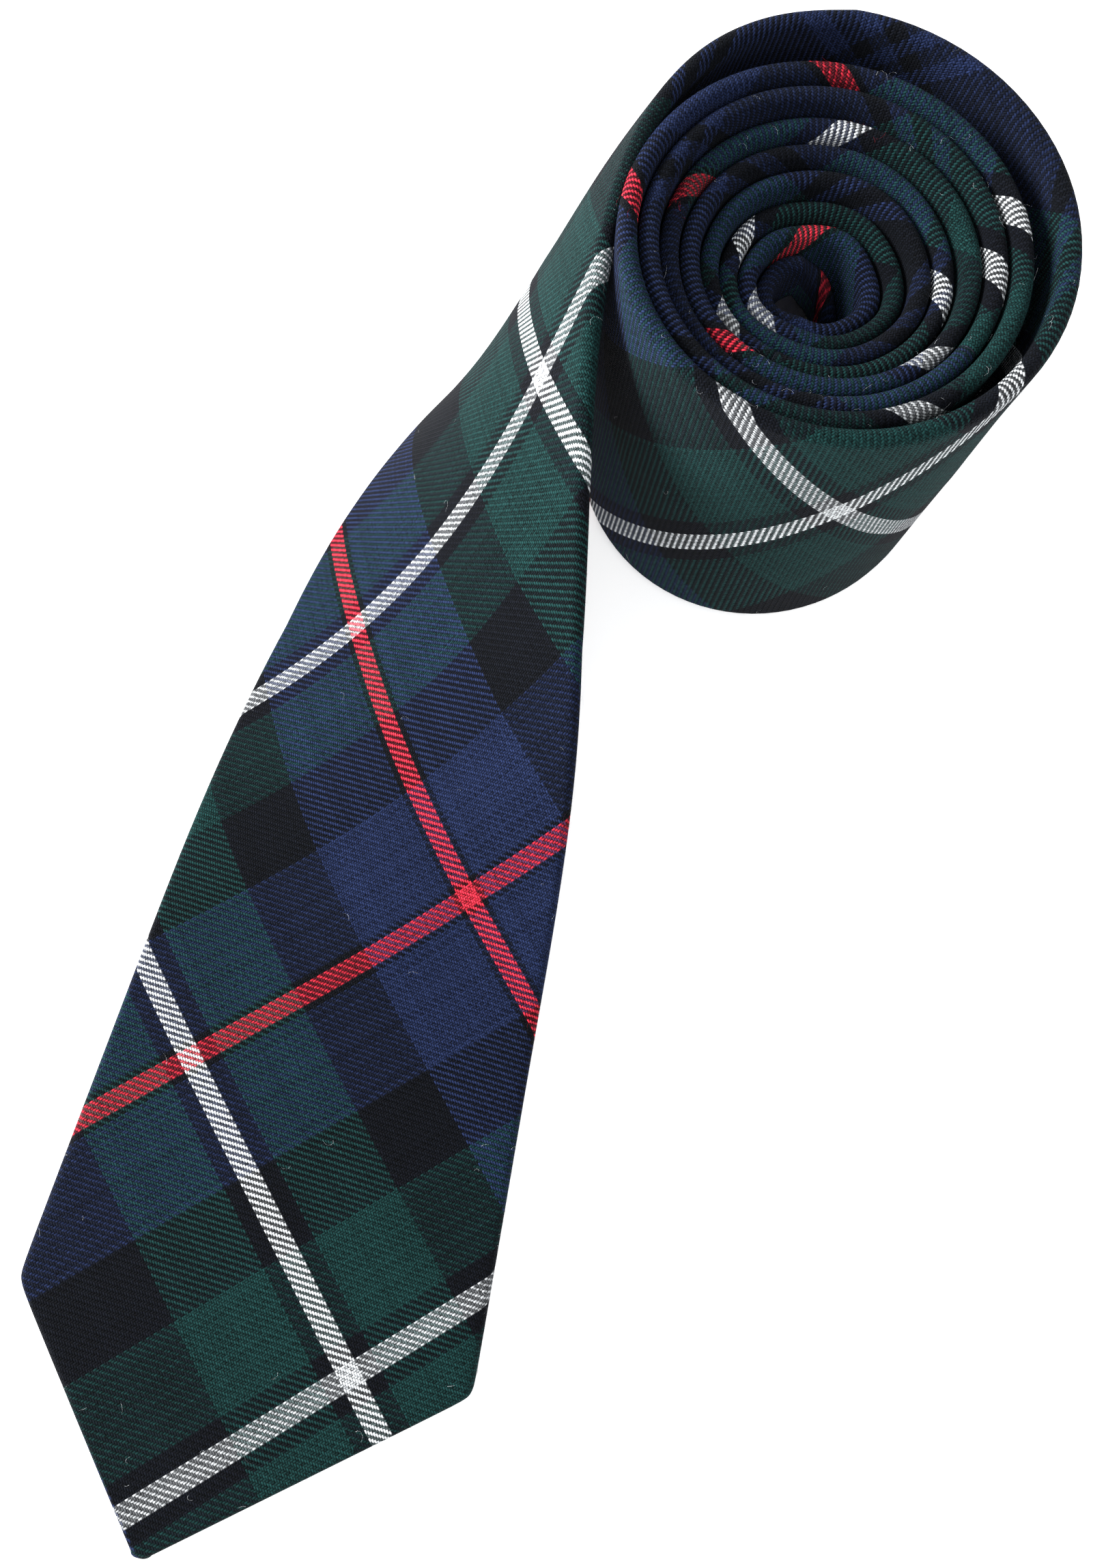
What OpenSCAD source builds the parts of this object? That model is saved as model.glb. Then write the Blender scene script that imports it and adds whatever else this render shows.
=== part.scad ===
// A rolled necktie standing on the edge of its roll, with the wide blade
// twisting down to lie flat. Millimetres, +Z up along the roll's axis, the
// blade runs out towards -Y. Origin: middle of the footprint, on the floor.
//
// Every piece is swept along the same path. A place on the tie is given as
//   t  distance along the outermost cloth, 0 where the blade leaves the roll,
//      positive towards the tip, negative around the roll
//   u  distance across the tie from its centre line
//   n  distance from mid-thickness, positive towards the face of the cloth

/* [Blade] */
// Width across the blade's two corners
blade_w = 85; // [80:1:90]
// Distance from the roll to the line of the corners
free_l = 262.5; // [255:0.5:270]
// Width lost over the first stretch above the corners
taper = 16.5; // [14:0.5:17]
// Length of that stretch
taper_l = 130; // [110:5:150]

/* [Cloth] */
// Thickness of the folded tie
thick = 3.3; // [3.1:0.1:3.4]
// Thickness of one layer of shell cloth
cloth = 0.75; // [0.7:0.05:0.8]
// Thickness of the interlining
lining_t = 1.1; // [1:0.1:1.2]
// Thickness of the tipping
tipping_t = 0.25; // [0.2:0.05:0.3]

/* [Roll] */
// Radius of the outermost turn's mid-thickness, without its slack
roll_r = 36; // [35.5:0.1:37]
// Radius added where the slack outer turn leaves the roll
slack = 5; // [4.9:0.1:5.5]
// Angle over which that slack dies away, back around the roll
slack_turn = 200; // [160:10:240]
// Distance between one turn and the next
pitch = 3.7; // [3.65:0.01:3.75]
// Turns in the roll, counted in twenty-degree steps
roll_steps = 153; // [145:1:155]
// Width lost in one turn
turn_taper = 3.6; // [3.2:0.1:3.8]
// Direction, seen from the roll's axis, in which the blade leaves
leave = 95; // [90:1:96]

/* [Fall of the blade] */
// Distance in which the blade swings round to run straight
swing_l = 18.7; // [17:0.1:20]
// How gently the swing starts: 1 leaves the roll without a bend
swing_ease = 1.2; // [1:0.1:1.3]
// Start of the twist, as t
twist_from = 1; // [0:1:6]
// End of the twist, as t
twist_to = 213; // [205:1:220]
// Strongest bow across the blade, in degrees for each millimetre
bow = 0.58; // [0.4:0.01:0.6]
// Where the bow has died away, as t
bow_to = 165; // [150:1:168]

/* [Blade end] */
// Where the liftable end begins, as t
hinge_t = 170; // [169:0.5:172]
// Space left at that line
hinge_gap = 0.3; // [0.2:0.05:0.4]
// Height of the opening at the back above the corners
vent_l = 70; // [66:1:74]
// Width of the turned hem along the point, measured across the tie
hem_w = 17; // [15:1:19]

/* [Back of the tie] */
// Middle of the keeper loop, as t
keeper_t = 125; // [115:1:126]
// Width of the keeper loop along the tie
keeper_l = 12; // [10:1:14]
// Length of the keeper loop across the tie
keeper_w = 46; // [40:1:50]
// Finger space under the middle of the loop
keeper_rise = 1.4; // [1:0.1:1.6]
// Middle of the care label, as t
label_t = 151; // [150:1:152]

/* [Hidden] */

// Place of the roll's axis in the footprint
roll_at = [28.5, 96.5];

DEG = PI / 180;
half_t = thick / 2;
point_l = blade_w / 2;          // a right-angled point
tip_t = free_l + point_l;
leave_r = roll_r + slack;
leave_w = blade_w - taper;
turn_step = 20;                 // degrees between sections in the roll
seam_gap = 0.3;                 // cut edge to cut edge at a panel seam
blade_steps = 42;               // sections of roll in the blade panel
neck_steps = 82;                // the same to the end of the neck panel
rise_zone = 8;                  // section spacing in the open blade
vent_slope = 2.6;               // rise of the opening's edge for its run
edge_min = 0.6;                 // half-width left at a point, between folds
slit = 0.2;                     // half the slit where the two flaps meet
inset = 0.14;                   // air between one layer and the next
thread_r = 0.15;

cream = [0.93, 0.92, 0.88];
tartan = [0.10, 0.16, 0.24];
wool = [0.80, 0.76, 0.66];
satin = [0.06, 0.08, 0.16];
dark_thread = [0.07, 0.09, 0.14];

function clamp01(x) = min(max(x, 0), 1);
function ease(x) = let (c = clamp01(x)) c * c * (3 - 2 * c);
function sum(v) = v * [for (x = v) 1];

// Angle wound back around the roll at t, in degrees, and t at section k
function wound(t) = -t / (DEG * leave_r);
function roll_t(k) = -k * turn_step * DEG * leave_r;

// Radius of mid-thickness at a wound-back angle, and cloth length up to it
function radius(a) = roll_r - pitch * a / 360 + slack * (1 - ease(a / slack_turn));
function cloth_l(a) =
    let (x = clamp01(a / slack_turn))
    DEG * (roll_r * a - pitch * a * a / 720 + slack * slack_turn * (x - pow(x, 3) + pow(x, 4) / 2));
tail_l = cloth_l(roll_steps * turn_step);

// Height above the corners (negative in the point), and below the tail's end
function above(t) = t >= 0 ? free_l - t : free_l + cloth_l(wound(t));
function from_tail(t) = t >= 0 ? tail_l + t : tail_l - cloth_l(wound(t));

// Width of the tie at t
function body_w(t) = t >= 0 ? blade_w - taper * clamp01(above(t) / taper_l)
                            : leave_w - turn_taper * wound(t) / 360;
function width(t) =
    max(2 * (half_t + edge_min), min(body_w(t), 2 * (point_l + above(t)), 2 * from_tail(t)));

// Direction of travel, tilt of the tie and bow across it, in degrees
function heading(t) =
    t >= 0 ? (leave - 180) * (1 + swing_ease * t / swing_l) * exp(-t / swing_l) - 90
           : leave - wound(t) - 270;
function tilt(t) = 90 * (1 - ease((t - twist_from) / (twist_to - twist_from)));
function bend(t) = let (x = clamp01((t - twist_from) / (bow_to - twist_from))) bow * sin(360 * x) * (1 - x);

// Place across a bowed section: [sideways, upwards]
function across(f, c, u) =
    abs(c) < 0.001 ? [u * cos(f), u * sin(f)]
                   : [sin(f) - sin(f - c * u), cos(f - c * u) - cos(f)] / (c * DEG);

// Centre line in plan: around the roll, or summed along the open blade up to
// where it has swung round
SUM_STEPS = 60;
swing_end = 8 * swing_l;
function plan(t) =
    t < 0 ? radius(wound(t)) * [cos(leave - wound(t)), sin(leave - wound(t))]
          : let (h = min(t, swing_end) / SUM_STEPS, d = [for (i = [0.5:SUM_STEPS]) heading(i * h)],
                 turned = h * [sum([for (a = d) cos(a)]), sum([for (a = d) sin(a)])])
            leave_r * [cos(leave), sin(leave)] + turned - [0, max(0, t - swing_end)];

// Height of the centre line: the lower fold rests on the floor
function level(t) =
    let (w = t < 0 ? leave_w : body_w(t)) half_t - across(tilt(t), bend(t), half_t - w / 2)[1];

// The frame at t, and a point of it
function frame_at(t) = [plan(t), level(t), heading(t), tilt(t), bend(t)];
function place(g, u, n) =
    let (f = g[3] - g[4] * u, s = across(g[3], g[4], u) + n * [-sin(f), cos(f)])
    [each roll_at + g[0] + s[0] * [-sin(g[2]), cos(g[2])], g[1] + s[1]];

// A closed solid through one outline of [u, n] points at each t. An outline
// is a row of points and then as many back again, so that its two ends close
// with a strip of triangles between the rows. Every quad is cut along the same
// diagonal, so that layers lying on each other stay apart where the tie twists.
module sweep(ts, outlines) {
    count = len(outlines[0]);
    last = len(ts) - 1;
    points = [for (i = [0:last]) let (g = frame_at(ts[i])) for (p = outlines[i]) place(g, p[0], p[1])];
    sides = [for (i = [0:last - 1], j = [0:count - 1])
        let (a = i * count + j, b = i * count + (j + 1) % count,
             rising = outlines[i][(j + 1) % count][0] > outlines[i][j][0])
        each rising ? [[a, a + count, b + count], [a, b + count, b]]
                    : [[a, a + count, b], [b, a + count, b + count]]];
    cap = [for (k = [0:count / 2 - 2]) each [[k, k + 1, count - 2 - k], [k, count - 2 - k, count - 1 - k]]];
    far_cap = [for (f = cap) [for (k = [2:-1:0]) last * count + f[k]]];
    polyhedron(points, [each cap, each sides, each far_cap], convexity = 10);
}

// Half the width of the opening between the two flaps at the back
function vent(t) =
    let (e = width(t) / 2 - half_t,
         blade_end = min((vent_l - above(t)) / vent_slope, point_l + above(t) - hem_w),
         tail_end = min((vent_l - from_tail(t)) / 4, from_tail(t) - hem_w / 2))
    min(max(slit, blade_end, tail_end), e - slit);

// One face of the shell: up one flap, round a fold, over the face and back
function shell_row(e, v, r) =
    let (m = (v + e) / 2, arc = [for (a = [-45, 0, 45]) r * [cos(a), sin(a)]])
    [[v, -r], [m, -r], [e, -r], each [for (p = arc) [e + p[0], p[1]]], [e, r], [e / 2, r],
     [0, r], [-e / 2, r], [-e, r], each [for (p = arc) [-e - p[0], -p[1]]], [-e, -r], [-m, -r], [-v, -r]];

function reversed(v) = [for (i = [len(v) - 1:-1:0]) v[i]];

function shell_outline(t) =
    let (e = width(t) / 2 - half_t, v = vent(t))
    [each shell_row(e, v, half_t), each reversed(shell_row(e, v, half_t - cloth))];

// Outline of a flat layer between two levels, split so that it can bow
function layer_outline(w, low, high) =
    let (xs = [-1, -1 / 2, 0, 1 / 2, 1] * w / 2)
    [for (x = xs) [x, low], for (x = reversed(xs)) [x, high]];

// Sections of the roll from step k to step j, and of the open blade
function roll_ts(k, j) = [for (i = [k:-1:j]) roll_t(i)];
function blade_ts(from, to, n) = [for (i = [0:n]) from + (to - from) * i / n];

module shell(ts) { sweep(ts, [for (t = ts) shell_outline(t)]); }

module layer(ts, low, high, spare) {
    sweep(ts, [for (t = ts) layer_outline(width(t) - 2 * spare, low, high)]);
}

seam_1 = roll_t(blade_steps);
seam_2 = roll_t(neck_steps);
hinge_up = hinge_t - hinge_gap / 2;
hinge_down = hinge_t + hinge_gap / 2;
open_ts = blade_ts(0, hinge_up, 30);
vent_t = free_l - vent_l;
closed_t = free_l + point_l - hem_w;
end_ts = [each blade_ts(hinge_down, vent_t, 5), each blade_ts(vent_t + 7, free_l - 1, 8), free_l,
          each blade_ts(free_l + 8, closed_t, 2),
          each blade_ts(closed_t + 5, tip_t - half_t - edge_min, 2)];

// Levels of the layers between the face and the flaps
core_high = half_t - cloth - inset;
core_low = core_high - lining_t;
tipping_low = cloth - half_t + inset;

module blade_shell() {
    color(tartan) shell([seam_1 + seam_gap, each roll_ts(blade_steps - 1, 1), each open_ts]);
}

module neck_shell() {
    ts = [seam_2 + seam_gap, each roll_ts(neck_steps - 1, blade_steps + 1), seam_1 - seam_gap];
    color(tartan) shell(ts);
}

module tail_shell() {
    color(tartan) shell([each roll_ts(roll_steps, neck_steps + 1), seam_2 - seam_gap]);
}

// The machine-sewn joins between panels
module panel_seam(t) {
    color(dark_thread) shell([t - seam_gap * 0.8, t + seam_gap * 0.8]);
}

module blade_neck_seam() { panel_seam(seam_1); }

module neck_tail_seam() { panel_seam(seam_2); }

module interlining() {
    ts = [each roll_ts(roll_steps - 6, 1), each open_ts];
    color(wool) layer(ts, core_low, core_high, half_t);
}

module blade_end_interlining() {
    ts = [for (t = end_ts) if (t < tip_t - 6) t];
    color(wool) layer(ts, core_low, core_high, half_t);
}

// Lining cloth seen through the opening at the back of an end
module tipping(ts, spare) {
    outlines = [for (t = ts) let (w = 2 * min(vent(t) + spare, width(t) / 2 - half_t))
        layer_outline(w, tipping_low, tipping_low + tipping_t)];
    color(satin) sweep(ts, outlines);
}

module blade_tipping() { tipping([for (t = end_ts) if (t > vent_t - 10 && t < tip_t - 9) t], 6); }

module tail_tipping() { tipping(roll_ts(roll_steps - 8, roll_steps - 20), 2); }

function block_outline(u, v, low, high) = [[u, low], [v, low], [v, high], [u, high]];

// A small block of thread: across the tie from u to v, along it from t for l
module stitch(t, l, u, v, low, high) {
    ts = [t, t + l];
    sweep(ts, [for (s = ts) block_outline(u, v, low, high)]);
}

// Running stitches that hold the tipping along the edges of the opening
module tipping_stitches() {
    count = 9;
    length = 1.6;
    off_edge = 1.3;
    color(dark_thread)
        for (i = [1:count])
            let (t = vent_t + (closed_t - vent_t) * i / (count + 1),
                 v = min(vent(t), vent(t + length)) - off_edge)
            for (u = [-v, v - 1])
                stitch(t, length, u, u + 1, tipping_low - 0.4, tipping_low - 0.04);
}

// The thread that draws the two flaps together, in the slit between them
module slip_thread(ts) {
    outline = block_outline(-slit / 2, slit / 2, -half_t + 0.1, -half_t + cloth - 0.05);
    color(dark_thread) sweep(ts, [for (t = ts) outline]);
}

module slip_stitch_thread() { slip_thread([each roll_ts(roll_steps - 24, 1), each open_ts]); }

module slip_stitch_end() { slip_thread([for (t = end_ts) if (t < vent_t) t]); }

// A bar tack across the slit, at the top of the opening
tack_l = 1.6;
tack_w = 7;
tack_t = 0.2;
tack_off = 0.12;

module bar_tack(t) {
    high = -half_t - tack_off;
    color(cream) stitch(t - tack_l / 2, tack_l, -tack_w / 2, tack_w / 2, high - tack_t, high);
}

module blade_bar_tack() { bar_tack(vent_t - 4); }

module tail_bar_tack() { bar_tack(roll_t(roll_steps - 24)); }

back_gap = 0.25;                // air between the flaps and what is sewn on them

// The loop of shell cloth that keeps the tail behind the blade
module keeper_loop() {
    ts = blade_ts(keeper_t - keeper_l / 2, keeper_t + keeper_l / 2, 4);
    row = [for (x = [-1, -0.86, -0.6, -0.2, 0.2, 0.6, 0.86, 1])
        [x * keeper_w / 2, -half_t - back_gap - keeper_rise * ease((1 - abs(x)) / 0.4 - 0.3)]];
    outline = [for (p = row) p - [0, cloth], each reversed(row)];
    color(tartan) sweep(ts, [for (t = ts) outline]);
}

module keeper_stitches() {
    from = keeper_t - keeper_l / 2 + 1;
    low = -half_t - back_gap - cloth - 0.1;
    color(dark_thread)
        for (k = [0:4], side = [-1, 1])
            let (u = side * (keeper_w / 2 - 1.8))
            stitch(from + k * 2.2, 1.2, u - 0.25, u + 0.25, low - 2 * thread_r, low);
}

label_l = 26;
label_w = 20;
label_h = 0.3;

module care_label() {
    ts = blade_ts(label_t - label_l / 2, label_t + label_l / 2, 8);
    low = -half_t - back_gap - label_h;
    color(cream) sweep(ts, [for (t = ts) layer_outline(label_w, low, low + label_h)]);
}

module label_stitches() {
    low = -half_t - back_gap - label_h - 0.08;
    color(dark_thread)
        for (k = [0:6], end = [-1, 1])
            let (u = (k - 3) * 2.6, t = label_t + end * (label_l / 2 - 2.5))
            stitch(t, 0.5, u - 0.7, u + 0.7, low - 2 * thread_r, low);
}

module blade_end_shell() { color(tartan) shell(end_ts); }

blade_shell();
neck_shell();
tail_shell();
interlining();
blade_neck_seam();
neck_tail_seam();
slip_stitch_thread();
keeper_loop();
keeper_stitches();
care_label();
label_stitches();
tail_tipping();
tail_bar_tack();
blade_end_shell();
blade_end_interlining();
blade_tipping();
tipping_stitches();
blade_bar_tack();
slip_stitch_end();
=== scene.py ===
"""A tartan wool necktie rolled up from its tail: the looks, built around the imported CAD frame.

Every piece of cloth is swept along the tie's own path, the same one that the CAD follows:
    t  distance along the outermost cloth, 0 where the blade leaves the roll, positive
       towards the tip and negative around the roll
    u  distance across the tie from its centre line
    n  distance from mid-thickness, positive towards the face of the cloth
Path and cloth sizes are in millimetres, and mesh() turns them into metres.
"""
import math

import bpy
import numpy as np
from mathutils import Matrix, Vector


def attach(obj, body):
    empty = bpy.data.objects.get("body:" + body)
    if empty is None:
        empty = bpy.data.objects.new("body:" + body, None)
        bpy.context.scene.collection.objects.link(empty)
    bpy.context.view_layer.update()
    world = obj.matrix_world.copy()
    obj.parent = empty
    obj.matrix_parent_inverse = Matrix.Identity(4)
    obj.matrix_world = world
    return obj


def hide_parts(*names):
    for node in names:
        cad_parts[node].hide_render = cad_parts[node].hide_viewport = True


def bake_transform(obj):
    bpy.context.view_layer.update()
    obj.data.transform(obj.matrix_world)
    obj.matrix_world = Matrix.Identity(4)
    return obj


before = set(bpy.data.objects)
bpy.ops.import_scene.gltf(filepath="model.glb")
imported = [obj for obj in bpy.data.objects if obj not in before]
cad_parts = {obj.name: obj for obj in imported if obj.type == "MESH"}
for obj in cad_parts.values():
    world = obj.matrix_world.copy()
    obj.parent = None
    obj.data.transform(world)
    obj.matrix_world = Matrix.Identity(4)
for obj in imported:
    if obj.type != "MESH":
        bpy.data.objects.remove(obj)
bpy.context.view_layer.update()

MM = 0.001
DEG = math.pi / 180

# ---------------------------------------------------------------- sizes, as in the CAD
BLADE_W = 85.0
FREE_L = 262.5
TAPER, TAPER_L = 16.5, 130.0
THICK = 3.3
CLOTH = 0.75
ROLL_R, SLACK, SLACK_TURN = 36.0, 5.0, 200.0
PITCH, ROLL_STEPS, TURN_STEP = 3.7, 153, 20
TURN_TAPER = 3.6
LEAVE = 95.0
SWING_L, SWING_EASE = 18.7, 1.2
TWIST_FROM, TWIST_TO = 1.0, 213.0
BOW, BOW_TO = 0.58, 165.0
HINGE_T = 170.0
VENT_L, VENT_SLOPE, HEM_W = 70.0, 2.6, 17.0
LINING_T, TIPPING_T, INSET = 1.1, 0.25, 0.14
KEEPER_T, KEEPER_L, KEEPER_W, KEEPER_RISE = 125.0, 12.0, 46.0, 1.4
LABEL_T, LABEL_L, LABEL_W, LABEL_H = 151.0, 26.0, 20.0, 0.3
BACK_GAP = 0.25
TACK_L, TACK_W = 1.6, 7.0
ROLL_AT = np.array([28.5, 96.5])
BLADE_STEPS, NECK_STEPS = 42, 82
WOBBLE = 1.5
FLARE, FLARE_AT, FLARE_TURN = 4.0, 195.0, 60.0
LIFT = 0.5

HALF_T = THICK / 2
POINT_L = BLADE_W / 2
TIP_T = FREE_L + POINT_L
LEAVE_R = ROLL_R + SLACK
LEAVE_W = BLADE_W - TAPER
EDGE_MIN = 0.35
SLIT = 0.18

# the point was folded a little out of true: where each slanting edge starts, past the line
# of the corners, and how fast it runs in
LEFT_START, LEFT_SLOPE = 0.5, 0.87
RIGHT_START, RIGHT_SLOPE = 1.8, 1.31
CORNER_SOFT = 1.2           # how round the corners are
TIP_END = 39.7              # past the line of the corners
TIP_ROUND = 1.6             # length over which the very tip rounds off


# ---------------------------------------------------------------- the tie's path
def ease(x):
    x = np.clip(x, 0, 1)
    return x * x * (3 - 2 * x)


def wound(t):
    """Angle wound back around the roll, in degrees."""
    return -t / (DEG * LEAVE_R)


def roll_t(step):
    return -step * TURN_STEP * DEG * LEAVE_R


def wobble(a):
    """The inner turns aren't quite round, and turns that touch share the same unevenness."""
    size = WOBBLE * np.clip((a - 360) / 2700, 0, 1) ** 1.4
    turn = (LEAVE - a) * DEG
    return size * (0.5 * np.cos(2 * turn - 0.5) + 0.3 * np.cos(3 * turn + 1.9) + 0.2 * np.cos(5 * turn))


def radius(a):
    return ROLL_R - PITCH * a / 360 + SLACK * (1 - ease(a / SLACK_TURN)) + wobble(a)


def cloth_l(a):
    """Length of cloth between the leaving point and an angle wound back."""
    x = np.clip(a / SLACK_TURN, 0, 1)
    slack = SLACK * SLACK_TURN * (x - x**3 + x**4 / 2)
    return DEG * (ROLL_R * a - PITCH * a * a / 720 + slack)


TAIL_L = float(cloth_l(ROLL_STEPS * TURN_STEP))


def above(t):
    """Height above the blade's corners, along the cloth."""
    return np.where(t >= 0, FREE_L - t, FREE_L + cloth_l(wound(t)))


def from_tail(t):
    return np.where(t >= 0, TAIL_L + t, TAIL_L - cloth_l(wound(t)))


def body_w(t):
    open_w = BLADE_W - TAPER * np.clip(above(t) / TAPER_L, 0, 1)
    return np.where(t >= 0, open_w, LEAVE_W - TURN_TAPER * wound(t) / 360)


def soft_min(a, b, soft):
    return (a + b - np.sqrt((a - b) ** 2 + soft * soft)) / 2


def sides(t):
    """How far the tie reaches to the left and to the right of its centre line."""
    past = t - FREE_L
    half = np.minimum(body_w(t) / 2, from_tail(t))
    return (soft_min(half, POINT_L - (past - LEFT_START) * LEFT_SLOPE, CORNER_SOFT),
            soft_min(half, POINT_L - (past - RIGHT_START) * RIGHT_SLOPE, CORNER_SOFT))


def half_edge(t):
    """Half the width between the middles of the two folds."""
    left, right = sides(t)
    return np.maximum(EDGE_MIN, (left + right) / 2 - HALF_T)


def centre(t):
    """Sideways place of the middle between the two folds."""
    left, right = sides(t)
    return (right - left) / 2


def fullness(t):
    """Thickness of the folded tie as a share of the whole: the very tip rounds off."""
    past = np.clip((t - (FREE_L + TIP_END - TIP_ROUND)) / TIP_ROUND, 0, 1)
    return np.sqrt(1 - 0.92 * past * past)


def heading(t):
    x = np.maximum(t, 0) / SWING_L
    return np.where(t >= 0, (LEAVE - 180) * (1 + SWING_EASE * x) * np.exp(-x) - 90, LEAVE - wound(t) - 270)


def tilt(t):
    return 90 * (1 - ease((t - TWIST_FROM) / (TWIST_TO - TWIST_FROM)))


def bend(t):
    x = np.clip((t - TWIST_FROM) / (BOW_TO - TWIST_FROM), 0, 1)
    return BOW * np.sin(2 * np.pi * x) * (1 - x)


def across(f, c, u):
    """Sideways and upward distance of u on a section tilted by f and bowed by c."""
    c = np.where(np.abs(c) < 1e-5, 1e-5, c)
    k = c * DEG
    side = (np.sin(DEG * f) - np.sin(DEG * (f - c * u))) / k
    up = (np.cos(DEG * (f - c * u)) - np.cos(DEG * f)) / k
    return side, up


def flare(t, u):
    """The slack outer turn leans out at its lower edge, on the side towards the viewer."""
    low = np.clip(0.5 - u / LEAVE_W, 0, 1)
    return FLARE * np.exp(-(((wound(t) - FLARE_AT) / FLARE_TURN) ** 2)) * low**1.6


def lift(t):
    """The inner turns stand a little higher or lower than each other."""
    a = wound(t)
    return LIFT * np.sin(a * DEG * 0.61 + 0.6) * ease((a - 150) / 400)


OPEN_T = np.linspace(0, TIP_T + 1, 3001)
_turn = heading(OPEN_T) * DEG
_step = OPEN_T[1] - OPEN_T[0]
OPEN_X = np.concatenate([[0], np.cumsum((np.cos(_turn[1:]) + np.cos(_turn[:-1])) / 2)]) * _step
OPEN_Y = np.concatenate([[0], np.cumsum((np.sin(_turn[1:]) + np.sin(_turn[:-1])) / 2)]) * _step


def plan(t):
    a = (LEAVE - wound(t)) * DEG
    r = radius(wound(t))
    open_x = LEAVE_R * math.cos(LEAVE * DEG) + np.interp(t, OPEN_T, OPEN_X)
    open_y = LEAVE_R * math.sin(LEAVE * DEG) + np.interp(t, OPEN_T, OPEN_Y)
    return (np.where(t < 0, r * np.cos(a), open_x) + ROLL_AT[0],
            np.where(t < 0, r * np.sin(a), open_y) + ROLL_AT[1])


def level(t):
    w = np.where(t < 0, LEAVE_W, body_w(t))
    return HALF_T - across(tilt(t), bend(t), HALF_T - w / 2)[1]


def place(t, u, n):
    """Points in millimetres, in the row frame, for arrays t, u and n."""
    t, u, n = np.broadcast_arrays(np.asarray(t, float), np.asarray(u, float), np.asarray(n, float))
    f, c, h = tilt(t), bend(t), heading(t) * DEG
    side, up = across(f, c, u)
    local = (f - c * u) * DEG
    n = n + flare(t, u)
    side, up = side - n * np.sin(local), up + n * np.cos(local)
    x, y = plan(t)
    return np.stack([x - side * np.sin(h), y + side * np.cos(h), level(t) + lift(t) + up], -1)


# ---------------------------------------------------------------- the tartan's place on the cloth
SETT_UNIT = 0.755          # the smallest step of the sett, two threads
THREAD = SETT_UNIT / 2
LINE_GAP = 82 * SETT_UNIT  # from a white line to the next red line
CROSS_L, CROSS_U = -1.33, 20.2  # where the first two white lines cross
# fitted corrections to where the lines cross: a slant, and a pull inwards beside the twist
SLANT = 0.063
DRAWN, DRAWN_T, DRAWN_SPAN = 0.21, 128.0, 46.0
ASKEW_L, ASKEW_U, ASKEW_TURN = 3.83, -9.2, 120.0
NECK_SHIFT, TAIL_SHIFT = (-45.0, -79.2), (-117.0, 20.8)  # each panel is cut from another place


def thread_count(t, s, shift=(0.0, 0.0)):
    """Warp and weft count at distance s across the cloth, along its surface, from the
    middle of the front. The cloth is drawn askew a little where it turns into the roll."""
    askew = ease(wound(t) / ASKEW_TURN)
    l = above(t) - CROSS_L + SLANT * s * (1 - askew) - ASKEW_L * askew + shift[0]
    drawn = DRAWN * np.maximum(CROSS_U - s, 0) * np.exp(-((t - DRAWN_T) / DRAWN_SPAN) ** 2)
    u = s - CROSS_U - drawn - ASKEW_U * askew + shift[1]
    return ((l + u) / math.sqrt(2) - LINE_GAP) / THREAD, ((l - u) / math.sqrt(2) - LINE_GAP) / THREAD


# ---------------------------------------------------------------- meshes
def mesh(name, points, faces, uvs=None):
    """A mesh object from millimetre points; uvs is one pair for each vertex."""
    data = bpy.data.meshes.new(name)
    data.from_pydata((np.asarray(points) * MM).tolist(), [], [list(f) for f in faces])
    if uvs is not None:
        layer = data.uv_layers.new(name="cloth")
        loops = np.zeros(len(data.loops), np.int32)
        data.loops.foreach_get("vertex_index", loops)
        layer.data.foreach_set("uv", np.asarray(uvs, np.float32)[loops].ravel())
    data.polygons.foreach_set("use_smooth", [True] * len(data.polygons))
    data.update()
    piece = bpy.data.objects.new(name, data)
    bpy.context.scene.collection.objects.link(piece)
    return piece


def swept(name, ts, us, ns, warp_weft):
    """A closed skin: row i of us and ns is the closed outline of the section at ts[i]."""
    rows, count = us.shape
    points = place(ts[:, None], us, ns).reshape(-1, 3)
    i, j = np.meshgrid(np.arange(rows - 1), np.arange(count), indexing="ij")
    a, b = i * count + j, i * count + (j + 1) % count
    sides = np.stack([a, b, b + count, a + count], -1).reshape(-1, 4)
    half = count // 2
    k = np.arange(half - 1)
    cap = np.stack([k, count - 1 - k, count - 2 - k, k + 1], -1)
    far_cap = cap[:, ::-1] + (rows - 1) * count
    faces = np.concatenate([cap, sides, far_cap])
    return mesh(name, points, faces, np.stack(warp_weft, -1).reshape(-1, 2))


def vent(t, edge):
    """Half the width of the opening between the two flaps at the back."""
    blade_end = np.minimum((VENT_L - above(t)) / VENT_SLOPE, POINT_L + above(t) - HEM_W)
    tail_end = np.minimum((VENT_L - from_tail(t)) / 4, from_tail(t) - HEM_W / 2)
    return np.minimum(np.maximum(SLIT, np.maximum(blade_end, tail_end)), edge - SLIT)


FACE_COLS, FLAP_COLS, FOLD_COLS = 36, 10, 10


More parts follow.
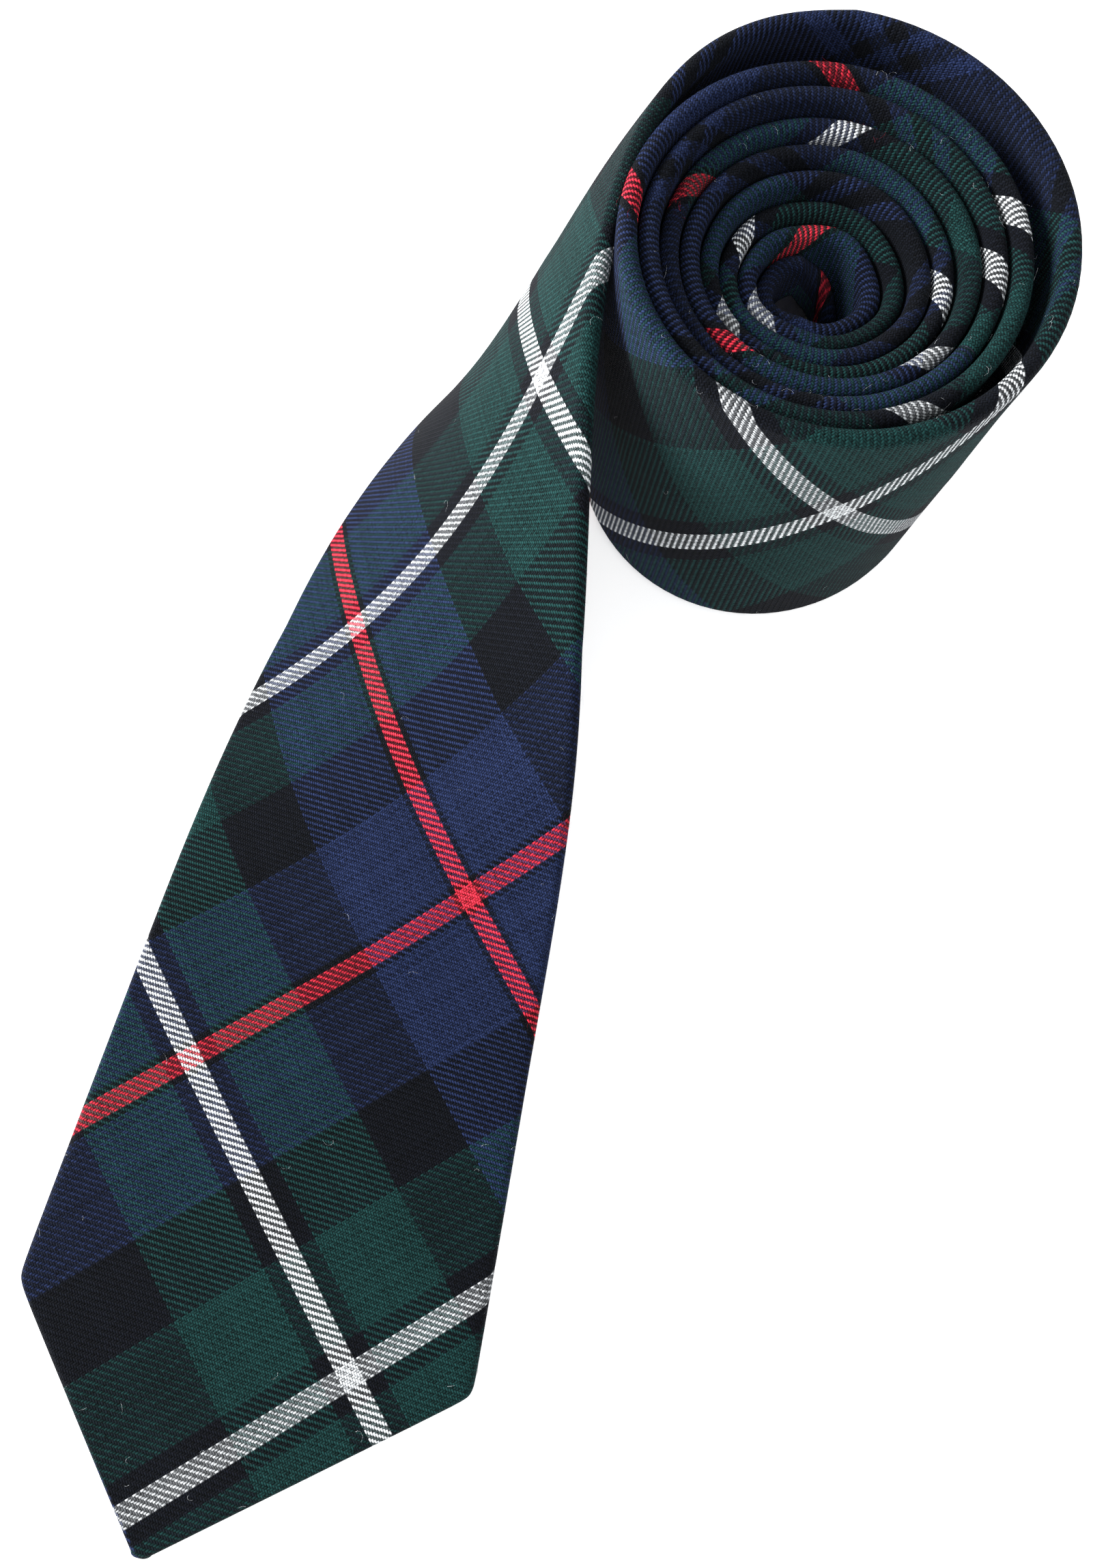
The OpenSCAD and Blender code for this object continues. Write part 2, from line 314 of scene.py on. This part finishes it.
def shell_row(edge, v, r):
    """One face of the shell: u, n and the distance s along the cloth, for columns edge, v and r.
    It runs up the right flap, round the right fold, over the face and back down the left side."""
    flap = np.linspace(0, 1, FLAP_COLS + 1)[None, :-1]
    fold = np.linspace(-90, 90, FOLD_COLS + 1)[None, :-1] * DEG
    face = np.linspace(1, -1, FACE_COLS + 1)[None, :] * edge
    right_u = np.concatenate([v + (edge - v) * flap, edge + r * np.cos(fold)], 1)
    right_n = np.concatenate([-r + 0 * flap, r * np.sin(fold)], 1)
    flap_s = edge + math.pi * HALF_T + (edge - v) * (1 - flap)
    right_s = np.concatenate([flap_s, edge + HALF_T * (math.pi / 2 - fold)], 1)
    return (np.concatenate([right_u, face, -right_u[:, ::-1]], 1),
            np.concatenate([right_n, r + 0 * face, right_n[:, ::-1]], 1),
            np.concatenate([right_s, face, -right_s[:, ::-1]], 1))


def relief(t, s):
    """How far the cloth stands proud: soft unevenness, and the flaps' edges felt through it."""
    wave = np.sin(s / 9.0 + t / 23.0) + np.sin(s / 5.3 - t / 14.0 + 1.3) + np.sin(t / 8.1 + s / 17.0 + 0.4)
    return 0.045 * wave + 0.06 * np.exp(-((s / 2.2) ** 2))


def shell(name, ts, shift=(0.0, 0.0), recess=0.0):
    """A panel of shell cloth, folded round the interlining; shift moves the tartan on it."""
    edge = half_edge(ts)[:, None]
    v = vent(ts, half_edge(ts))[:, None]
    full = fullness(ts)[:, None]
    drop = HALF_T * (full - 1)
    outer_u, outer_n, s = shell_row(edge, v, (HALF_T - recess) * full)
    inner_u, inner_n, _ = shell_row(edge, v, (HALF_T - CLOTH) * full)
    outer_n = outer_n + full * np.where(np.abs(s) <= edge, relief(ts[:, None], s), 0)
    us = np.concatenate([outer_u, inner_u[:, ::-1]], 1) + centre(ts)[:, None]
    ns = np.concatenate([outer_n, inner_n[:, ::-1]], 1) + drop
    s = np.concatenate([s, s[:, ::-1]], 1) + centre(ts)[:, None]
    return swept(name, ts, us, ns, thread_count(ts[:, None], s, shift))


def layer(name, ts, us, low, high):
    """A flat layer of cloth between two levels, through one row of us at each t."""
    us, low, high = np.broadcast_arrays(us + np.zeros((len(ts), 1)), low, high)
    both = np.concatenate([us, us[:, ::-1]], 1)
    ns = np.concatenate([low, high[:, ::-1]], 1)
    return swept(name, ts, both, ns, thread_count(ts[:, None], both))


def columns(half_w, count=12):
    """Rows of u, evenly spaced from -half_w to half_w."""
    return np.linspace(-1, 1, count + 1)[None, :] * np.reshape(half_w, (-1, 1))


def tubes(name, paths, radius, round_ends=0.5, ring=8):
    """Round threads, as one mesh; each path is rows of t, u and n."""
    points, faces = [], []
    turn = np.arange(ring) * 2 * math.pi / ring
    for path in paths:
        line = place(*np.asarray(path, float).T)
        along = np.gradient(line, axis=0)
        along /= np.linalg.norm(along, axis=1)[:, None]
        flattest = np.argmin(np.abs(along).max(0))
        side = np.cross(along, np.eye(3)[flattest])
        side /= np.linalg.norm(side, axis=1)[:, None]
        over = np.cross(along, side)
        size = np.full(len(line), radius)
        size[[0, -1]] *= round_ends
        circle = side[:, None] * np.cos(turn)[None, :, None] + over[:, None] * np.sin(turn)[None, :, None]
        start = len(points) * ring
        points.extend(line[:, None] + circle * size[:, None, None])
        i, j = np.meshgrid(np.arange(len(line) - 1) * ring, np.arange(ring), indexing="ij")
        a, b = start + i + j, start + i + (j + 1) % ring
        faces.extend(np.stack([a, b, b + ring, a + ring], -1).reshape(-1, 4).tolist())
        last = start + (len(line) - 1) * ring
        faces.extend([list(range(start + ring - 1, start - 1, -1)), list(range(last, last + ring))])
    return mesh(name, np.concatenate(points), faces)


def roll_span(first, last, degrees=4.0):
    """Values of t around the roll, from one section of the roll to a later one."""
    count = max(2, round((first - last) * TURN_STEP / degrees))
    return np.linspace(roll_t(first), roll_t(last), count + 1)


def open_span(start, end, step=1.5):
    return np.linspace(start, end, max(2, round((end - start) / step)) + 1)


seam_1, seam_2 = roll_t(BLADE_STEPS), roll_t(NECK_STEPS)
SEAM_GAP = 0.3
vent_t = FREE_L - VENT_L
closed_t = FREE_L + POINT_L - HEM_W

# ---------------------------------------------------------------- materials
def new_material(name):
    material = bpy.data.materials.new(name)
    material.use_nodes = True
    return material, Graph(material.node_tree)


class Graph:
    """Small helper that adds shader nodes and links them."""

    def __init__(self, tree):
        self.tree = tree
        self.shader = tree.nodes["Principled BSDF"]

    def node(self, kind, **settings):
        made = self.tree.nodes.new(kind)
        for key, value in settings.items():
            setattr(made, key, value)
        return made

    def link(self, source, target):
        self.tree.links.new(source, target)
        return source

    def feed(self, value, socket):
        if isinstance(value, bpy.types.NodeSocket):
            self.link(value, socket)
        else:
            socket.default_value = value

    def math(self, operation, *values):
        made = self.node("ShaderNodeMath", operation=operation)
        for value, socket in zip(values, made.inputs):
            self.feed(value, socket)
        return made.outputs[0]

    def add(self, a, b):
        return self.math("ADD", a, b)

    def sub(self, a, b):
        return self.math("SUBTRACT", a, b)

    def mul(self, a, b):
        return self.math("MULTIPLY", a, b)

    def swing(self, value, size):
        """A value from 0 to 1, made into one round 0 and scaled by size."""
        return self.mul(self.sub(value, 0.5), size)

    def hump(self, count, fall):
        """Height across a yarn: 1 in its middle, less by fall times the square of the way out."""
        off = self.sub(self.math("FRACT", count), 0.5)
        return self.sub(1.0, self.mul(self.mul(off, off), fall))

    def choose(self, over, warp, weft):
        """The warp's value where over is 1, and the weft's where it is 0."""
        return self.add(self.mul(over, warp), self.mul(self.sub(1.0, over), weft))

    def blend(self, kind, factor, a, b):
        made = self.node("ShaderNodeMix", data_type="RGBA", blend_type=kind)
        for value, socket in ((factor, made.inputs[0]), (a, made.inputs[6]), (b, made.inputs[7])):
            self.feed(value, socket)
        return made.outputs[2]

    def vector(self, x, y, z=0.0):
        made = self.node("ShaderNodeCombineXYZ")
        for value, socket in zip((x, y, z), made.inputs):
            self.feed(value, socket)
        return made.outputs[0]

    def counts(self):
        """Warp and weft count from the cloth's own coordinates."""
        split = self.node("ShaderNodeSeparateXYZ")
        self.link(self.node("ShaderNodeUVMap", uv_map="cloth").outputs[0], split.inputs[0])
        return split.outputs[0], split.outputs[1]

    def noise(self, vector, scale, detail=2.0):
        made = self.node("ShaderNodeTexNoise")
        self.link(vector, made.inputs["Vector"])
        made.inputs["Scale"].default_value = scale
        made.inputs["Detail"].default_value = detail
        return made.outputs["Fac"]

    def random(self, vector):
        made = self.node("ShaderNodeTexWhiteNoise", noise_dimensions="2D")
        self.link(vector, made.inputs["Vector"])
        return made.outputs["Value"]

    def bands(self, position, stops):
        """Colour by position from 0 to 1; stops are (start, colour)."""
        ramp = self.node("ShaderNodeValToRGB")
        ramp.color_ramp.interpolation = "CONSTANT"
        elements = ramp.color_ramp.elements
        while len(elements) < len(stops):
            elements.new(0.5)
        for element, (start, colour) in zip(elements, stops):
            element.position = start
            element.color = (*colour, 1)
        self.link(position, ramp.inputs[0])
        return ramp.outputs[0]

    def bump(self, height, distance):
        made = self.node("ShaderNodeBump")
        made.inputs["Distance"].default_value = distance
        made.inputs["Strength"].default_value = 1.0
        self.link(height, made.inputs["Height"])
        self.link(made.outputs[0], self.shader.inputs["Normal"])

    def paint(self, colour, shade):
        """Sets the base colour: colour darkened or lightened by shade."""
        tinted = self.blend("MULTIPLY", 1.0, colour, self.vector(shade, shade, shade))
        self.link(tinted, self.shader.inputs["Base Color"])

    def roughness(self, value):
        self.link(value, self.shader.inputs["Roughness"])

    def fix(self, **values):
        """Sets the shader's own sockets, named with _ for a space."""
        for name, value in values.items():
            self.shader.inputs[name.replace("_", " ")].default_value = value


TWILL_REPEAT = 4            # yarns before the twill repeats: two over and two under
YARN_FALL, FLOAT_FALL = 3.9, 3.2  # how round a yarn is across, and a float along


def twill(g, p, q):
    """A two-and-two twill: the yarns' numbers, whether the warp shows, and the height."""
    i, j = g.math("FLOOR", p), g.math("FLOOR", q)
    phase = g.math("FRACT", g.mul(g.add(g.add(i, j), 0.5), 1 / TWILL_REPEAT))
    warp_up = g.math("LESS_THAN", phase, 0.5)

    def round_yarn(count):
        return g.math("SQRT", g.math("MAXIMUM", g.hump(count, YARN_FALL), 0.0))

    def float_arch(along, crossing_number, start):
        """Height along one float, which passes over two yarns."""
        place_on = g.math("FRACT", g.mul(g.add(along, crossing_number), 1 / TWILL_REPEAT))
        off = g.sub(g.mul(g.sub(place_on, start), 2.0), 0.5)
        return g.sub(1.0, g.mul(g.mul(off, off), FLOAT_FALL))

    warp_h = g.mul(round_yarn(p), float_arch(q, i, 0.0))
    weft_h = g.mul(round_yarn(q), float_arch(p, j, 0.5))
    return i, j, warp_up, g.math("MAXIMUM", g.choose(warp_up, warp_h, weft_h), 0.0)


NAVY = (0.0165, 0.0270, 0.0800)
GREEN = (0.0090, 0.0430, 0.0410)
BLACK = (0.0045, 0.0055, 0.0090)
WHITE = (0.90, 0.93, 0.95)
RED = (0.80, 0.035, 0.065)
# half the sett, from the middle of the red line to where it turns back; a unit is two yarns
SETT = [(2.3, RED), (1.7, BLACK), (27, NAVY), (20, BLACK), (24, GREEN), (4.5, BLACK),
        (5, WHITE), (4.5, BLACK), (24, GREEN), (30, BLACK), (4, NAVY), (4, BLACK), (4, NAVY),
        (4, BLACK), (14, NAVY)]
SETT_LENGTH = float(sum(width for width, _ in SETT))


def sett_stops():
    stops, start = [], 0
    for width, colour in SETT:
        stops.append((start / SETT_LENGTH, colour))
        start += width
    return stops


SHOW_THROUGH = 0.10         # share of the crossing yarn that shows between the floats
FIBRE_ACROSS, FIBRE_ALONG = 6.0, 1.1  # how fine the fibres are across a yarn and along it
BEAD_FINE, PATCH_FINE = 0.9, 0.02  # the same for the yarn's beads and for soft patches of dye
# painted shade: the base colour is darkened where a yarn dips low, between yarns and at the ends of floats
BASE_SHADE, HEIGHT_SHADE = 0.12, 1.05
WEFT_PAINTED_LIGHT, WARP_PAINTED_SHEEN = 0.74, 0.44  # painted sheen: the warp's floats are painted lighter than the weft's, standing in for the extra light they catch
FIBRE_TONE, BEAD_TONE, YARN_TONE, PATCH_TONE = 1.25, 1.8, 0.45, 0.30
DARKEST = 0.05
FIBRE_RELIEF = 0.35
YARN_RELIEF, PLAIN_RELIEF, PLY_RELIEF = 0.00022, 0.00008, 0.00005  # bump, in metres


def tartan_material():
    material, g = new_material("tartan_twill")
    p, q = g.counts()
    i, j, warp_up, height = twill(g, p, q)

    def yarn_colour(number):
        units = g.mul(g.add(number, 0.5), 0.5)
        folded = g.math("PINGPONG", units, SETT_LENGTH)
        return g.bands(g.math("DIVIDE", folded, SETT_LENGTH), sett_stops())

    # the crossing yarn shows a little between the floats
    shown = g.add(g.mul(warp_up, 1 - 2 * SHOW_THROUGH), SHOW_THROUGH)
    colour = g.blend("MIX", shown, yarn_colour(j), yarn_colour(i))
    # fibres run along each yarn, and every yarn takes the dye a little differently
    warp_fibre = g.noise(g.vector(g.mul(p, FIBRE_ACROSS), g.mul(q, FIBRE_ALONG)), 1.0, 3.0)
    weft_fibre = g.noise(g.vector(g.mul(p, FIBRE_ALONG), g.mul(q, FIBRE_ACROSS)), 1.0, 3.0)
    fibre = g.choose(warp_up, warp_fibre, weft_fibre)
    yarn_tone = g.random(g.vector(g.mul(i, warp_up), g.mul(j, g.sub(1.0, warp_up))))
    patch = g.noise(g.vector(p, q), PATCH_FINE, 3.0)
    bead = g.noise(g.vector(g.mul(p, BEAD_FINE), g.mul(q, BEAD_FINE)), 1.0, 2.0)
    # painted shade: darker where the yarn's height is low, in the dips between yarns and floats
    shade = g.add(g.mul(height, HEIGHT_SHADE), BASE_SHADE)
    # painted sheen: warp floats lighter than weft floats, in the base colour
    shade = g.mul(shade, g.add(g.mul(warp_up, WARP_PAINTED_SHEEN), WEFT_PAINTED_LIGHT))
    for tone, size in ((fibre, FIBRE_TONE), (bead, BEAD_TONE), (yarn_tone, YARN_TONE), (patch, PATCH_TONE)):
        shade = g.add(shade, g.swing(tone, size))
    g.paint(colour, g.math("MAXIMUM", shade, DARKEST))
    g.roughness(g.sub(0.92, g.mul(fibre, 0.18)))
    g.fix(Specular_IOR_Level=0.08, Sheen_Weight=0.02, Sheen_Roughness=0.45,
          Sheen_Tint=(0.75, 0.85, 1.0, 1))
    g.bump(g.add(height, g.mul(fibre, FIBRE_RELIEF)), YARN_RELIEF)
    return material


def plain_weave_material(name, colour, yarns, sheen, roughness):
    """A plain weave of one colour; yarns scales the tartan's thread count to its own."""
    material, g = new_material(name)
    p, q = (g.mul(count, yarns) for count in g.counts())
    number = g.add(g.add(g.math("FLOOR", p), g.math("FLOOR", q)), 0.5)
    over = g.math("LESS_THAN", g.math("FRACT", g.mul(number, 0.5)), 0.5)
    height = g.choose(over, g.hump(p, 3.6), g.hump(q, 3.6))
    fleck = g.noise(g.vector(p, q), 0.6, 3.0)
    # painted shade: darker between the yarns, where their height is low; the flecks are the weave's own tone
    g.paint((*colour, 1), g.add(g.add(g.mul(height, 0.35), 0.5), g.swing(fleck, 0.3)))
    g.roughness(g.add(roughness, g.mul(fleck, 0.12)))
    g.fix(Sheen_Weight=sheen)
    g.bump(height, PLAIN_RELIEF)
    return material


def thread_material(name, colour):
    """Plied sewing thread: slanting plies, painted darker in the grooves between them, and a little gloss."""
    material, g = new_material(name)
    ply = g.node("ShaderNodeTexWave", wave_type="BANDS", bands_direction="DIAGONAL")
    ply.inputs["Scale"].default_value = 900.0
    ply.inputs["Distortion"].default_value = 1.5
    g.link(g.node("ShaderNodeTexCoord").outputs["Object"], ply.inputs["Vector"])
    # painted shade: darker in the grooves between the plies
    g.paint((*colour, 1), g.add(g.mul(ply.outputs["Fac"], 0.5), 0.5))
    g.roughness(g.add(0.5, g.mul(ply.outputs["Fac"], 0.15)))
    g.bump(ply.outputs["Fac"], PLY_RELIEF)
    return material


tartan = tartan_material()
canvas = plain_weave_material("interlining_weave", (0.62, 0.57, 0.46), 0.7, 0.1, 0.85)
satin = plain_weave_material("tipping_weave", (0.012, 0.016, 0.06), 3.0, 0.04, 0.42)
tape = plain_weave_material("label_weave", (0.80, 0.79, 0.75), 2.0, 0.1, 0.6)
dark_thread = thread_material("dark_thread", (0.02, 0.025, 0.05))
pale_thread = thread_material("pale_thread", (0.72, 0.70, 0.64))


def finish_piece(piece, material, slot, *nodes):
    piece.data.materials.append(material)
    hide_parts(*nodes)
    return piece


# ---------------------------------------------------------------- the shell's three panels
tip_start = FREE_L + TIP_END - TIP_ROUND
tip_end = FREE_L + TIP_END
blade_ts = np.concatenate([
    roll_span(BLADE_STEPS, 0)[:-1], open_span(0, FREE_L - 3, 1.2)[:-1],
    open_span(FREE_L - 3, FREE_L + 5, 0.5)[:-1], open_span(FREE_L + 5, tip_start, 1.2)[:-1],
    open_span(tip_start, tip_end, 0.2)])
blade_ts[0] = seam_1 + SEAM_GAP
neck_ts = roll_span(NECK_STEPS, BLADE_STEPS)
neck_ts[0], neck_ts[-1] = seam_2 + SEAM_GAP, seam_1 - SEAM_GAP
tail_ts = roll_span(ROLL_STEPS, NECK_STEPS)
tail_ts[-1] = seam_2 - SEAM_GAP

blade_cloth = finish_piece(shell("blade_cloth", blade_ts), tartan, "tartan_wool",
                           "blade_shell", "blade_end_shell")
neck_cloth = finish_piece(shell("neck_cloth", neck_ts, NECK_SHIFT), tartan, "tartan_wool", "neck_shell")
tail_cloth = finish_piece(shell("tail_cloth", tail_ts, TAIL_SHIFT), tartan, "tartan_wool", "tail_shell")


def seam(name, t, node):
    """The sunken line of a machine-sewn join between two panels."""
    line = t + np.linspace(-0.9, 0.9, 3) * SEAM_GAP
    return finish_piece(shell(name, line, recess=0.14), dark_thread, "sewing_thread", node)


seams = [seam("blade_neck_join", seam_1, "blade_neck_seam"),
         seam("neck_tail_join", seam_2, "neck_tail_seam")]

# ---------------------------------------------------------------- inside and behind the shell
core_high = HALF_T - CLOTH - INSET
core_low = core_high - LINING_T
lining_ts = np.concatenate([roll_span(ROLL_STEPS - 6, 0, 8)[:-1], open_span(0, tip_end - 6, 3)])
lining_us = columns(half_edge(lining_ts)) + centre(lining_ts)[:, None]
lining = layer("interlining_cloth", lining_ts, lining_us, core_low, core_high)
finish_piece(lining, canvas, "interlining_wool", "interlining", "blade_end_interlining")

tipping_low = CLOTH - HALF_T + INSET


def tipping(name, ts, spare, node):
    """Lining cloth behind the opening of an end; spare is how far it runs in under the flaps."""
    half_w = np.minimum(vent(ts, half_edge(ts)) + spare, half_edge(ts))
    ripple = 0.05 * np.sin(ts / 3.1)[:, None]
    low = tipping_low + ripple
    piece = layer(name, ts, columns(half_w, 20) + centre(ts)[:, None], low, low + TIPPING_T)
    return finish_piece(piece, satin, "tipping_satin", node)


blade_tip_ts = open_span(vent_t - 8, tip_end - 8, 1.5)
tail_tip_ts = roll_span(ROLL_STEPS - 8, ROLL_STEPS - 20, 5)
BLADE_SPARE, TAIL_SPARE = 6, 2
blade_tipping = tipping("blade_tipping_cloth", blade_tip_ts, BLADE_SPARE, "blade_tipping")
tail_tipping = tipping("tail_tipping_cloth", tail_tip_ts, TAIL_SPARE, "tail_tipping")

keeper_ts = np.linspace(KEEPER_T - KEEPER_L / 2, KEEPER_T + KEEPER_L / 2, 17)
keeper_us = columns(KEEPER_W / 2, 40)
round_edge = 0.3 * ((keeper_ts - KEEPER_T) / (KEEPER_L / 2))[:, None] ** 8
keeper_high = -HALF_T - BACK_GAP - KEEPER_RISE * ease((1 - np.abs(keeper_us) * 2 / KEEPER_W) / 0.4 - 0.3)
keeper = layer("keeper_band", keeper_ts, keeper_us,
               keeper_high - CLOTH + round_edge, keeper_high - round_edge * 0.3)
finish_piece(keeper, tartan, "tartan_wool", "keeper_loop")

label_ts = np.linspace(LABEL_T - LABEL_L / 2, LABEL_T + LABEL_L / 2, 27)
label_us = columns(LABEL_W / 2, 20)
label_curl = 0.12 * (np.abs(label_us) / (LABEL_W / 2)) ** 6
label_high = -HALF_T - BACK_GAP - label_curl
label = layer("care_label_tape", label_ts, label_us, label_high - LABEL_H, label_high)
finish_piece(label, tape, "label_tape", "care_label")

# ---------------------------------------------------------------- thread
THREAD_R, SLIP_R = 0.14, 0.13


def stitches(name, paths, radius, *nodes):
    return finish_piece(tubes(name, paths, radius), dark_thread, "sewing_thread", *nodes)


def arch(t0, u0, t1, u1, n, rise, sink=0.12, steps=7):
    """A stitch that comes up out of the cloth, bows out by rise and goes in again."""
    x = np.linspace(0, 1, steps)
    level_n = n + sink - (rise + sink) * np.sin(math.pi * x)
    return np.stack([t0 + (t1 - t0) * x, u0 + (u1 - u0) * x, level_n], -1)


def slip_path(ts):
    """The long slip stitch that draws the two flaps together, from one to the other."""
    sway = 0.34 * np.sin(ts / 2.2)
    return [np.stack([ts, sway, -HALF_T + 0.10 - 0.08 * np.abs(np.sin(ts / 2.2))], -1)]


slip_ts = np.concatenate([roll_span(ROLL_STEPS - 24, 0, 2)[:-1], open_span(0, vent_t - 1, 0.8)])
slip = stitches("slip_stitch", slip_path(slip_ts), SLIP_R, "slip_stitch_thread", "slip_stitch_end")

keeper_n = -HALF_T - BACK_GAP - CLOTH
keeper_t = KEEPER_T - KEEPER_L / 2
keeper_paths = [arch(keeper_t + 1 + k * 2.2, side * (KEEPER_W / 2 - 1.8),
                     keeper_t + 2.4 + k * 2.2, side * (KEEPER_W / 2 - 1.5), keeper_n - 0.02, 0.16)
                for k in range(5) for side in (-1, 1)]
keeper_threads = stitches("keeper_threads", keeper_paths, THREAD_R, "keeper_stitches")

label_n = -HALF_T - BACK_GAP - LABEL_H
label_paths = [arch(LABEL_T + end * (LABEL_L / 2 - 2.5), (k - 3) * 2.6 - 0.8,
                    LABEL_T + end * (LABEL_L / 2 - 2.3), (k - 3) * 2.6 + 0.8, label_n, 0.14)
               for k in range(7) for end in (-1, 1)]
label_threads = stitches("label_threads", label_paths, 0.11, "label_stitches")


def tack_paths(t):
    """Close parallel threads across the slit between the flaps."""
    count = 18
    places = (np.arange(count) + 0.5) / count * TACK_W - TACK_W / 2
    return [arch(t - TACK_L / 2, u - 0.1, t + TACK_L / 2, u + 0.1, -HALF_T - 0.05, 0.2, 0.15) for u in places]


blade_tack = stitches("blade_tack_threads", tack_paths(vent_t - 4), 0.16, "blade_bar_tack")
tail_tack = stitches("tail_tack_threads", tack_paths(roll_t(ROLL_STEPS - 24)), SLIP_R, "tail_bar_tack")

tipping_paths = []
for k in range(1, 10):
    ends = vent_t + (closed_t - vent_t) * k / 10 + np.array([0, 1.6])
    reach = float(vent(ends, half_edge(ends)).min())
    for side in (-1, 1):
        tipping_paths.append(arch(ends[0], side * (reach - 1.6), ends[1], side * (reach - 0.1),
                                  tipping_low - 0.05, 0.22, 0.1))
tipping_threads = stitches("tipping_threads", tipping_paths, THREAD_R, "tipping_stitches")


# ---------------------------------------------------------------- loose fibres of the wool
FIBRE_R = 0.011
FLOOR_GAP = 0.03            # no fibre goes down into the floor
WHITE_COUNT, WHITE_SHARE = 164.5, 0.04  # a count in the white line, and the share of pale fibres
THIRD = 2.094               # a third of a turn


def fuzz(name, count, t_low, t_high, seed):
    """Short loose fibres standing off the cloth, each in the colour of the yarn it comes from."""
    rng = np.random.default_rng(seed)
    t = rng.uniform(t_low, t_high, count)
    edge = half_edge(t)
    on_fold = rng.random(count) < 0.6
    turn = rng.uniform(-60, 90, count) * DEG
    side = np.where(rng.random(count) < 0.5, -1, 1)
    u = np.where(on_fold, side * (edge + HALF_T * np.cos(turn)), rng.uniform(-1, 1, count) * edge) + centre(t)
    n = np.where(on_fold, HALF_T * np.sin(turn), HALF_T)
    s = np.where(on_fold, side * (edge + HALF_T * (math.pi / 2 - turn)), u)
    out_u, out_n = np.where(on_fold, side * np.cos(turn), 0), np.where(on_fold, np.sin(turn), 1)
    length = rng.uniform(0.6, 2.4, count)
    lean, curl = rng.uniform(0, 2 * math.pi, count), rng.uniform(-2.5, 2.5, count)
    rise = rng.uniform(0.06, 0.32, count)
    scale = np.where(t < 0, LEAVE_R / radius(wound(t)), 1)
    steps, ring = 5, 3
    points = np.zeros((count, steps, ring, 3))
    for k in range(steps):
        x = k / (steps - 1)
        away = rise * math.sin(math.pi * min(x * 0.8 + 0.05, 1)) - 0.02
        dt = length * x * np.cos(lean + curl * x) * scale
        du = length * x * np.sin(lean + curl * x)
        at = place(t + dt, u + out_u * away + du * out_n, n + out_n * away - du * out_u)
        for j in range(ring):
            thick = FIBRE_R * (1 - 0.7 * x)
            turn_j = j * THIRD
            points[:, k, j] = at + thick * np.array(
                [math.cos(turn_j), math.sin(turn_j), math.cos(turn_j + 1)])
    points[..., 2] = np.maximum(points[..., 2], FLOOR_GAP)
    first = (np.arange(count) * steps * ring)[:, None, None]
    k, j = np.arange(steps - 1)[None, :, None] * ring, np.arange(ring)[None, None, :]
    a, b = first + k + j, first + k + (j + 1) % ring
    faces = np.stack([a, b, b + ring, a + ring], -1).reshape(-1, 4)
    warp, weft = thread_count(t, s)
    root = np.stack([np.floor(warp) + 0.5, np.floor(weft) + 0.5], -1)
    root[rng.random(count) < WHITE_SHARE] = WHITE_COUNT
    piece = mesh(name, points.reshape(-1, 3), faces, np.repeat(root, steps * ring, axis=0))
    piece.data.materials.append(tartan)
    return piece


roll_fuzz = fuzz("roll_fibres", 4200, roll_t(72), -1, 5)
blade_fuzz = fuzz("blade_fibres", 2600, 1, FREE_L + 36, 6)

# ---------------------------------------------------------------- bodies
for piece in (blade_cloth, lining, blade_tipping, slip, blade_tack, tipping_threads, label,
              label_threads, blade_fuzz):
    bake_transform(piece)
for piece in (neck_cloth, tail_cloth, *seams, tail_tipping, keeper, keeper_threads, tail_tack, roll_fuzz):
    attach(piece, "roll")


# ---------------------------------------------------------------- floor, light and camera
FLOOR = 40.0                # half its side, in metres
floor_data = bpy.data.meshes.new("floor")
floor_corners = [(-FLOOR, -FLOOR, 0), (FLOOR, -FLOOR, 0), (FLOOR, FLOOR, 0), (-FLOOR, FLOOR, 0)]
floor_data.from_pydata(floor_corners, [], [(0, 1, 2, 3)])
floor = bpy.data.objects.new("floor", floor_data)
bpy.context.scene.collection.objects.link(floor)
floor.location.z = -0.0002
pale, g = new_material("floor_paper")
g.fix(Base_Color=(0.92, 0.92, 0.92, 1), Roughness=0.9, Emission_Color=(1, 1, 1, 1), Emission_Strength=0.6)
floor.data.materials.append(pale)

world = bpy.data.worlds.new("studio")
bpy.context.scene.world = world
world.use_nodes = True
world.node_tree.nodes["Background"].inputs["Color"].default_value = (0.95, 0.97, 1.0, 1)
world.node_tree.nodes["Background"].inputs["Strength"].default_value = 0.6


def area_light(name, position, target, size, power):
    data = bpy.data.lights.new(name, "AREA")
    data.energy, data.size = power, size
    lamp = bpy.data.objects.new(name, data)
    lamp.location = position
    lamp.rotation_euler = (Vector(target) - Vector(position)).to_track_quat("-Z", "Y").to_euler()
    bpy.context.scene.collection.objects.link(lamp)


area_light("key_light", (-1.0, 0.05, 0.45), (0, 0, 0.02), 0.5, 26.0)
area_light("fill_light", (0.4, -0.6, 0.9), (0, 0, 0.02), 0.9, 4.0)

CAMERA_AT = (5.32, -31.66, 219.96)
CAMERA_PITCH, CAMERA_ROLL = 78.485, 13.72
camera_data = bpy.data.cameras.new("camera")
camera_data.sensor_fit = "VERTICAL"
camera_data.sensor_height = 36.0
camera_data.lens = 25.39
camera_data.clip_start = 0.005
camera = bpy.data.objects.new("camera", camera_data)
bpy.context.scene.collection.objects.link(camera)
pitch, spin = CAMERA_PITCH * DEG, CAMERA_ROLL * DEG
forward = Vector((0, math.cos(pitch), -math.sin(pitch)))
right = Vector((1, 0, 0))
up = right.cross(forward)
side_axis = right * math.cos(spin) + up * math.sin(spin)
up_axis = up * math.cos(spin) - right * math.sin(spin)
turned = Matrix((side_axis, up_axis, -forward)).transposed()
camera.matrix_world = Matrix.Translation(Vector(CAMERA_AT) * MM) @ turned.to_4x4()
bpy.context.scene.camera = camera

bpy.context.scene.view_settings.view_transform = "Standard"
